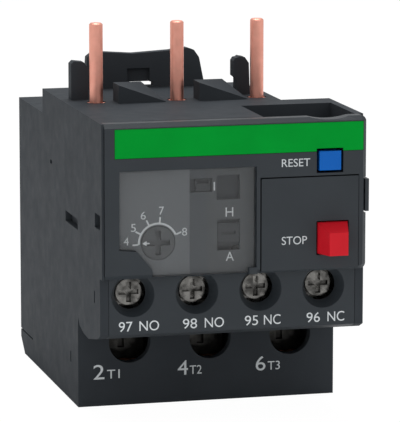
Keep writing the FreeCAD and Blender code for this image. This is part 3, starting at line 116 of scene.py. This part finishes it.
GRAIN = 3200
BRUSH_MARKS = 5200
BRUSH_DEPTH = 0.000006
SMOKE_ALPHA = 0.14
CLEAR_IOR = 1.49


def moulded(name, colour, rough=0.45, depth=0.000012, mottle=0.06, shine=0.25):
    """Moulded plastic: fine eroded grain, faint flow mottling and uneven gloss."""
    nodes = Nodes(name)
    cloud = nodes.noise(140, detail=5)
    colours = nodes.ramp(cloud, scaled(colour, 1 - mottle), scaled(colour, 1 + mottle))
    nodes.join(colours, nodes.shader.inputs["Base Color"])
    gloss = nodes.spread(nodes.noise(420, detail=4), rough - 0.05, rough + 0.06)
    nodes.join(gloss, nodes.shader.inputs["Roughness"])
    fine = nodes.bump(nodes.noise(GRAIN, detail=2), depth)
    waves = nodes.bump(nodes.noise(180, detail=2), depth * 1.6, 0.5, fine)
    nodes.join(waves, nodes.shader.inputs["Normal"])
    nodes.shader.inputs["Specular IOR Level"].default_value = shine
    return nodes.material


def metal(name, colour, rough=0.3, brushed=(1, 1, 1), dark=0.8):
    """Metal: drawn or turned marks, darker patches and uneven gloss; the patches are dull spots, and on
    the nickel steel they are also painted dark reflections.
    """
    nodes = Nodes(name)
    patches = nodes.noise(620, detail=6)
    colours = nodes.ramp(patches, scaled(colour, dark), colour, 0.38, 0.6)
    nodes.join(colours, nodes.shader.inputs["Base Color"])
    gloss = nodes.spread(nodes.noise(900, detail=4), rough - 0.08, rough + 0.1)
    nodes.join(gloss, nodes.shader.inputs["Roughness"])
    marks = nodes.noise(BRUSH_MARKS, detail=3, stretch=brushed)
    nodes.join(nodes.bump(marks, BRUSH_DEPTH), nodes.shader.inputs["Normal"])
    nodes.shader.inputs["Metallic"].default_value = 1.0
    return nodes.material


def scale_print():
    """The scale plate: a paler label field at its left, a middle band and a darker right part."""
    nodes = Nodes("scale_plastic")
    split = nodes.add("ShaderNodeSeparateXYZ")
    nodes.join(nodes.place, split.inputs["Vector"])
    step = nodes.add("ShaderNodeMapRange")
    for name, value in (("From Min", FIELD_LEFT), ("From Max", FIELD_RIGHT)):
        step.inputs[name].default_value = value * MM
    nodes.join(split.outputs["X"], step.inputs["Value"])
    bands = nodes.add("ShaderNodeValToRGB")
    bands.color_ramp.interpolation = "CONSTANT"
    first, second = bands.color_ramp.elements
    first.position, first.color = 0.0, (*LABEL_GREY, 1)
    second.position, second.color = LABEL_END, (*BAND_GREY, 1)
    third = bands.color_ramp.elements.new(BAND_END)
    third.color = (*RIGHT_GREY, 1)
    nodes.join(step.outputs["Result"], bands.inputs["Fac"])
    cloud = nodes.ramp(nodes.noise(90, detail=3), (0.96, 0.96, 0.96), (1, 1, 1))
    mix = nodes.add("ShaderNodeMix", data_type="RGBA", blend_type="MULTIPLY")
    mix.inputs["Factor"].default_value = 1.0
    nodes.join(bands.outputs["Color"], mix.inputs["A"])
    nodes.join(cloud, mix.inputs["B"])
    nodes.join(mix.outputs["Result"], nodes.shader.inputs["Base Color"])
    nodes.join(nodes.spread(nodes.noise(500), 0.4, 0.5), nodes.shader.inputs["Roughness"])
    nodes.join(nodes.bump(nodes.noise(900), 0.000002), nodes.shader.inputs["Normal"])
    return nodes.material


def smoked_clear():
    """Clear plastic, lightly smoked, with a trace of handling marks."""
    nodes = Nodes("smoked_clear_plastic")
    shader = nodes.shader
    tint = nodes.ramp(nodes.noise(70), (0.17, 0.175, 0.18), (0.19, 0.195, 0.2))
    nodes.join(tint, shader.inputs["Base Color"])
    nodes.join(nodes.spread(nodes.noise(120), 0.05, 0.08), shader.inputs["Roughness"])
    nodes.join(nodes.bump(nodes.noise(60), 0.000008, 0.1), shader.inputs["Normal"])
    shader.inputs["Alpha"].default_value = SMOKE_ALPHA
    shader.inputs["IOR"].default_value = CLEAR_IOR
    return nodes.material


# The colour bands of the scale plate, along x in millimetres and then as shares of the field.
FIELD_LEFT = -22.5
FIELD_RIGHT = 22.5
LABEL_RIGHT = -7.6
BAND_RIGHT = -4.6
LABEL_END = (LABEL_RIGHT - FIELD_LEFT) / (FIELD_RIGHT - FIELD_LEFT)
BAND_END = (BAND_RIGHT - FIELD_LEFT) / (FIELD_RIGHT - FIELD_LEFT)
LABEL_GREY = (0.146, 0.160, 0.172)
BAND_GREY = (0.058, 0.069, 0.080)
RIGHT_GREY = (0.068, 0.077, 0.084)
DARK_GREY = (0.044, 0.050, 0.057)
COVER_GREY = (0.033, 0.040, 0.047)

MATERIALS = {
    "housing_plastic": moulded("housing_plastic", DARK_GREY, rough=0.55, shine=0.03),
    "cover_plastic": moulded("cover_plastic", COVER_GREY, rough=0.42),
    "block_plastic": moulded("block_plastic", COVER_GREY, rough=0.45),
    "green_plastic": moulded("green_plastic", (0.0, 0.33, 0.032), rough=0.4, depth=0.000004, shine=0.04),
    "smoked_clear_plastic": smoked_clear(),
    "scale_plastic": scale_print(),
    "dial_plastic": moulded("dial_plastic", (0.098, 0.105, 0.110), rough=0.35, depth=0.000005),
    "blue_plastic": moulded("blue_plastic", (0.003, 0.125, 0.52), rough=0.32, depth=0.000005, shine=0.15),
    "red_plastic": moulded("red_plastic", (0.70, 0.012, 0.024), rough=0.34, depth=0.000005, shine=0.15),
    "mechanism_plastic": moulded("mechanism_plastic", (0.62, 0.59, 0.5), rough=0.4),
    "copper": metal("copper", (0.97, 0.45, 0.35), rough=0.42, brushed=(1, 1, 0.06), dark=0.93),
    # The nickel steel's low base colour is a painted dark reflection of a darker surround, and its strong
    # dark patches are partly dull spots and partly painted dark reflections.
    "nickel_steel": metal("nickel_steel", (0.21, 0.205, 0.195), rough=0.24, dark=0.3),
    "dull_steel": metal("dull_steel", (0.085, 0.083, 0.078), rough=0.42, dark=0.5),
    "spring_steel": metal("spring_steel", (0.55, 0.55, 0.56), rough=0.25),
    "bimetal": metal("bimetal", (0.56, 0.53, 0.48), rough=0.35, brushed=(1, 1, 0.05)),
    "heater_alloy": metal("heater_alloy", (0.30, 0.26, 0.23), rough=0.45, dark=0.6),
    "contact_bronze": metal("contact_bronze", (0.68, 0.46, 0.25), rough=0.3, brushed=(1, 1, 0.05)),
}
PRINT_WHITE = moulded("print_white", (0.74, 0.78, 0.80), rough=0.55, mottle=0.1, depth=0.000003)
PRINT_BRIGHT = moulded("print_bright", (0.62, 0.66, 0.68), rough=0.55, mottle=0.08, depth=0.000003)


# ---------------------------------------------------------------- CAD nodes

EDGE_WIDTHS = {
    "base_housing": 0.3,
    "rear_cover": 0.3,
    "front_cover": 0.16,
    "button_panel": 0.1,
    "contactor_hook": 0.28,
    "aux_terminal_block": 0.22,
    "stop_button": 0.45,
    "reset_button": 0.42,
    "cover_latch": 0.1,
    "scale_plate": 0.05,
    "colour_stripe": 0.04,
    "clear_cover": 0.1,
    "setting_dial": 0.08,
    "mode_selector": 0.08,
    "test_slider": 0.08,
}
SCREW_EDGE = 0.16
SMALL_EDGE = 0.08
SMOOTH_ANGLE = math.radians(32)


def smooth_shading():
    """A node group that shades every face smooth."""
    group = bpy.data.node_groups.new("smooth_shading", "GeometryNodeTree")
    group.interface.new_socket("Geometry", in_out="INPUT", socket_type="NodeSocketGeometry")
    group.interface.new_socket("Geometry", in_out="OUTPUT", socket_type="NodeSocketGeometry")
    source = group.nodes.new("NodeGroupInput")
    shade = group.nodes.new("GeometryNodeSetShadeSmooth")
    result = group.nodes.new("NodeGroupOutput")
    group.links.new(source.outputs[0], shade.inputs["Geometry"])
    group.links.new(shade.outputs["Geometry"], result.inputs[0])
    return group


SMOOTH_SHADING = smooth_shading()


def dress(node, material):
    """Give a CAD node its finish, smooth curved faces and softened edges."""
    obj = NODES[node]
    obj.data.materials.clear()
    obj.data.materials.append(material)
    width = EDGE_WIDTHS.get(node, SCREW_EDGE if "screw" in node else SMALL_EDGE)
    weld = obj.modifiers.new("weld", "WELD")
    weld.merge_threshold = 0.000002
    bevel = obj.modifiers.new("edges", "BEVEL")
    bevel.width = width * MM
    bevel.segments = 3
    bevel.limit_method = "ANGLE"
    bevel.angle_limit = SMOOTH_ANGLE
    bevel.use_clamp_overlap = True
    bevel.harden_normals = False
    smooth = obj.modifiers.new("smooth", "NODES")
    smooth.node_group = SMOOTH_SHADING
    shade = obj.modifiers.new("shade", "WEIGHTED_NORMAL")
    shade.keep_sharp = True
    shade.weight = 80


SHADED = moulded("selector_plastic", (0.048, 0.053, 0.058), rough=0.4, depth=0.000005)
OWN_FINISH = {"mode_selector": SHADED, "test_slider": SHADED}

for entry in frame["record"]["subparts"]:
    dress(entry["node"], OWN_FINISH.get(entry["node"], MATERIALS[entry["material_slot"]]))


# ---------------------------------------------------------------- printed marks

PRINT_THICK = 0.012


def piece(name, mesh_tool, material, body):
    """Turn a bmesh into a piece of the scene that rides on a body."""
    bmesh.ops.recalc_face_normals(mesh_tool, faces=mesh_tool.faces)
    mesh = bpy.data.meshes.new(name)
    mesh_tool.to_mesh(mesh)
    mesh_tool.free()
    obj = bpy.data.objects.new(name, mesh)
    bpy.context.scene.collection.objects.link(obj)
    mesh.materials.append(material)
    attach(obj, body)
    return obj


def add_word(mesh_tool, word, x, z, front):
    """Add a printed word that fills a width and a height, standing on a plane that faces the front."""
    curve = bpy.data.curves.new("word", "FONT")
    curve.body = word
    curve.size = 1.0
    curve.extrude = 0.5
    curve.resolution_u = 6
    holder = bpy.data.objects.new("word", curve)
    bpy.context.scene.collection.objects.link(holder)
    bpy.context.view_layer.update()
    mesh = bpy.data.meshes.new_from_object(holder)
    low_x = min(v.co.x for v in mesh.vertices)
    high_x = max(v.co.x for v in mesh.vertices)
    low_y = min(v.co.y for v in mesh.vertices)
    high_y = max(v.co.y for v in mesh.vertices)
    for v in mesh.vertices:
        across = (v.co.x - low_x) / (high_x - low_x)
        up = (v.co.y - low_y) / (high_y - low_y)
        v.co = (
            MM * (x[0] + across * (x[1] - x[0])),
            front - MM * PRINT_THICK * (0.5 + v.co.z),
            MM * (z[0] + up * (z[1] - z[0])),
        )
    mesh_tool.from_mesh(mesh)
    bpy.data.objects.remove(holder)
    bpy.data.meshes.remove(mesh)
    bpy.data.curves.remove(curve)


def add_line(mesh_tool, points, width, front):
    """Add a printed line along points in millimetres, with square ends."""
    outlines = []
    for index, (x, z) in enumerate(points):
        before = points[max(index - 1, 0)]
        after = points[min(index + 1, len(points) - 1)]
        run = Vector((after[0] - before[0], after[1] - before[1])).normalized()
        side = Vector((-run.y, run.x)) * width / 2
        outlines.append(((x + side.x, z + side.y), (x - side.x, z - side.y)))
    rings = []
    for left, right in outlines:
        ring = []
        for (x, z), depth in ((left, 0), (right, 0), (right, PRINT_THICK), (left, PRINT_THICK)):
            ring.append(mesh_tool.verts.new((x * MM, front - depth * MM, z * MM)))
        rings.append(ring)
    for near, far in zip(rings, rings[1:]):
        for k in range(4):
            mesh_tool.faces.new((near[k], near[(k + 1) % 4], far[(k + 1) % 4], far[k]))
    mesh_tool.faces.new(rings[0])
    mesh_tool.faces.new(rings[-1])


def add_shape(mesh_tool, corners, front):
    """Add a printed flat shape with corners in millimetres."""
    near = [mesh_tool.verts.new((x * MM, front - PRINT_THICK * MM, z * MM)) for x, z in corners]
    far = [mesh_tool.verts.new((x * MM, front, z * MM)) for x, z in corners]
    mesh_tool.faces.new(near)
    mesh_tool.faces.new(far)
    for k in range(len(corners)):
        after = (k + 1) % len(corners)
        mesh_tool.faces.new((near[k], near[after], far[after], far[k]))


def words(name, entries, front, body, material=None):
    """Print words, each given with its reach along x and along z in millimetres."""
    mesh_tool = bmesh.new()
    for word, x, z in entries:
        add_word(mesh_tool, word, x, z, front)
    return piece(name, mesh_tool, material or PRINT_WHITE, body)


def front_below(node, height):
    """The frontmost y of a node's solid below a height, in metres."""
    obj = NODES[node]
    places = [obj.matrix_world @ v.co for v in obj.data.vertices]
    return min(place.y for place in places if place.z < height)


def joint_place(name):
    """A joint's place across and up, in millimetres."""
    joint = next(joint for joint in frame["record"]["behaviour"]["joints"] if joint["name"] == name)
    return joint["pos_m"][0] / MM, joint["pos_m"][2] / MM


COVER_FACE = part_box("front_cover")[0].y
PANEL_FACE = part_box("button_panel")[0].y
AUX_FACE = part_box("aux_terminal_block")[0].y
SCALE_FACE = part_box("scale_plate")[0].y
LOWER_FACE = front_below("base_housing", 8 * MM)
DIAL_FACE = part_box("setting_dial")[0].y
DIAL_CENTRE = joint_place("dial_turn")

words(
    "reset_word", [("RESET", (7.55, 12.35), (42.5, 43.8))],
    COVER_FACE, "housing", PRINT_BRIGHT,
)
words(
    "stop_word", [("STOP", (7.6, 11.9), (29.6, 30.95))],
    PANEL_FACE, "housing", PRINT_BRIGHT,
)
words(
    "mode_letters", [("H", (-1.5, -0.2), (34.45, 35.95)), ("A", (-1.45, -0.1), (27.1, 28.6))],
    SCALE_FACE, "housing",
)
AUX_MARKS = (16.1, 17.75)
words(
    "aux_marks",
    [
        ("97", (-19.4, -17.1), AUX_MARKS), ("NO", (-15.95, -12.65), AUX_MARKS),
        ("98", (-8.65, -6.25), AUX_MARKS), ("NO", (-4.95, -1.7), AUX_MARKS),
        ("95", (1.85, 4.1), AUX_MARKS), ("NC", (5.1, 7.95), AUX_MARKS),
        ("96", (12.4, 14.7), AUX_MARKS), ("NC", (16.0, 18.9), AUX_MARKS),
    ],
    AUX_FACE, "housing",
)
words(
    "load_marks",
    [
        ("2", (-19.9, -18.0), (4.6, 7.1)), ("T1", (-17.55, -15.35), (4.65, 6.15)),
        ("4", (-5.3, -3.5), (4.6, 7.1)), ("T2", (-3.2, -1.1), (4.65, 6.15)),
        ("6", (8.4, 10.1), (4.6, 7.1)), ("T3", (10.5, 12.65), (4.65, 6.15)),
    ],
    LOWER_FACE, "housing",
)


ARC_RADIUS = 3.2
ARC_STEPS = 32
ARC_WIDTH = 0.32
TICK_WIDTH = 0.28
THIN_WIDTH = 0.24
NUMBER_HALF = (0.42, 0.65)
TRIP_MARK = [(-3.4, 38.85), (-3.4, 40.25)]
DIAL_MARKS = [
    # angle on the dial in degrees, number, its middle
    (183, "4", (-18.15, 31.05)),
    (152, "5", (-16.95, 33.25)),
    (117, "6", (-15.3, 35.2)),
    (85, "7", (-12.25, 35.9)),
    (23, "8", (-8.4, 32.25)),
]


def around_dial(angle, radius):
    """The point at an angle and a radius from the dial's middle."""
    turn = math.radians(angle)
    return (DIAL_CENTRE[0] + radius * math.cos(turn), DIAL_CENTRE[1] + radius * math.sin(turn))


def dial_scale():
    """The arc, its ticks and plain numbers around the dial, and the mark beside the trip window."""
    mesh_tool = bmesh.new()
    first, last = DIAL_MARKS[-1][0], DIAL_MARKS[0][0]
    arc = [around_dial(first + (last - first) * k / ARC_STEPS, ARC_RADIUS) for k in range(ARC_STEPS + 1)]
    add_line(mesh_tool, arc, ARC_WIDTH, SCALE_FACE)
    half_width, half_height = NUMBER_HALF
    for angle, number, (x, z) in DIAL_MARKS:
        tick = [around_dial(angle, ARC_RADIUS + 0.1), around_dial(angle, ARC_RADIUS + 1.05)]
        add_line(mesh_tool, tick, TICK_WIDTH, SCALE_FACE)
        across, up = (x - half_width, x + half_width), (z - half_height, z + half_height)
        add_word(mesh_tool, number, across, up, SCALE_FACE)
    add_line(mesh_tool, TRIP_MARK, THIN_WIDTH, SCALE_FACE)
    return piece("dial_scale", mesh_tool, PRINT_WHITE, "housing")


def dial_arrow():
    """The arrow on the dial, which turns with it."""
    mesh_tool = bmesh.new()
    x, z = DIAL_CENTRE
    add_shape(mesh_tool, [(x - 2.65, z), (x - 1.95, z + 0.42), (x - 1.95, z - 0.42)], DIAL_FACE)
    add_line(mesh_tool, [(x - 2.0, z), (x - 1.45, z)], THIN_WIDTH, DIAL_FACE)
    return piece("dial_arrow", mesh_tool, PRINT_WHITE, "setting_dial")


dial_scale()
dial_arrow()


# ---------------------------------------------------------------- floor, light and camera

FLOOR_HALF = 3.0
FLOOR_DROP = 0.00005
FLOOR_GLOW = 1.03
FLOOR_GLOW_SHARE = 0.95
WORLD_LIGHT = 0.62
WORLD_SEEN = 1.0
LAMP_AIM = Vector((0, 0, 0.03))
# name, place and size in metres, watts
LAMPS = [
    ("key", (-0.42, -0.30, 0.55), (0.35, 0.35), 0.12),
    ("fill", (0.35, -0.55, 0.30), (0.4, 0.4), 0.15),
    ("top", (0.05, 0.20, 0.70), (0.4, 0.4), 3.5),
]
CAMERA_PLACE = (-0.14057, -0.553312, 0.126715)
CAMERA_FORWARD = (0.24608, 0.95485, -0.16645)
CAMERA_YAW = 14.452
CAMERA_LENS = 287.11
CAMERA_SENSOR = 36.0


def stage_floor():
    """A pale floor just under the relay, bright enough to run into the white surround."""
    mesh_tool = bmesh.new()
    bmesh.ops.create_grid(mesh_tool, x_segments=8, y_segments=8, size=FLOOR_HALF)
    mesh = bpy.data.meshes.new("floor")
    mesh_tool.to_mesh(mesh)
    mesh_tool.free()
    floor = bpy.data.objects.new("floor", mesh)
    bpy.context.scene.collection.objects.link(floor)
    floor.location.z = -FLOOR_DROP
    material = bpy.data.materials.new("floor_white")
    material.use_nodes = True
    tree = material.node_tree
    shader = tree.nodes["Principled BSDF"]
    shader.inputs["Base Color"].default_value = (0.85, 0.85, 0.85, 1)
    shader.inputs["Roughness"].default_value = 0.9
    shader.inputs["Specular IOR Level"].default_value = 0.0
    glow = tree.nodes.new("ShaderNodeEmission")
    glow.inputs["Strength"].default_value = FLOOR_GLOW
    path = tree.nodes.new("ShaderNodeLightPath")
    mix = tree.nodes.new("ShaderNodeMixShader")
    share = tree.nodes.new("ShaderNodeMath")
    share.operation = "MULTIPLY"
    share.inputs[1].default_value = FLOOR_GLOW_SHARE
    tree.links.new(path.outputs["Is Camera Ray"], share.inputs[0])
    tree.links.new(share.outputs[0], mix.inputs["Fac"])
    tree.links.new(shader.outputs[0], mix.inputs[1])
    tree.links.new(glow.outputs[0], mix.inputs[2])
    tree.links.new(mix.outputs[0], tree.nodes["Material Output"].inputs["Surface"])
    mesh.materials.append(material)


def white_world():
    """A plain white surround that the camera, and rays through clear parts, see at full white, and that
    lights and reflects at a lower strength.
    """
    world = bpy.data.worlds.new("studio")
    bpy.context.scene.world = world
    world.use_nodes = True
    tree = world.node_tree
    back = tree.nodes["Background"]
    back.inputs["Color"].default_value = (1, 1, 1, 1)
    path = tree.nodes.new("ShaderNodeLightPath")
    seen = tree.nodes.new("ShaderNodeMath")
    seen.operation = "MAXIMUM"
    tree.links.new(path.outputs["Is Camera Ray"], seen.inputs[0])
    tree.links.new(path.outputs["Is Transmission Ray"], seen.inputs[1])
    level = tree.nodes.new("ShaderNodeMapRange")
    level.inputs["To Min"].default_value = WORLD_LIGHT
    level.inputs["To Max"].default_value = WORLD_SEEN
    tree.links.new(seen.outputs[0], level.inputs["Value"])
    tree.links.new(level.outputs["Result"], back.inputs["Strength"])


def lamp(name, place, size, watts):
    """A soft rectangular lamp that looks at the middle of the relay."""
    data = bpy.data.lights.new(name, "AREA")
    data.shape = "RECTANGLE"
    data.size, data.size_y = size
    data.energy = watts
    obj = bpy.data.objects.new(name, data)
    bpy.context.scene.collection.objects.link(obj)
    obj.location = place
    aim = LAMP_AIM - Vector(place)
    obj.rotation_euler = aim.to_track_quat("-Z", "Y").to_euler()


def photo_camera():
    """The camera at the photograph's viewing angle."""
    data = bpy.data.cameras.new("camera")
    data.lens = CAMERA_LENS
    data.sensor_width = CAMERA_SENSOR
    data.clip_start = 0.01
    obj = bpy.data.objects.new("camera", data)
    bpy.context.scene.collection.objects.link(obj)
    yaw = math.radians(CAMERA_YAW)
    right = Vector((math.cos(yaw), -math.sin(yaw), 0))
    forward = Vector(CAMERA_FORWARD).normalized()
    up = right.cross(forward)
    turn = Matrix((right, up, -forward)).transposed()
    obj.matrix_world = Matrix.Translation(CAMERA_PLACE) @ turn.to_4x4()
    bpy.context.scene.camera = obj


stage_floor()
white_world()
for entry in LAMPS:
    lamp(*entry)
photo_camera()
bpy.context.scene.view_settings.view_transform = "Standard"
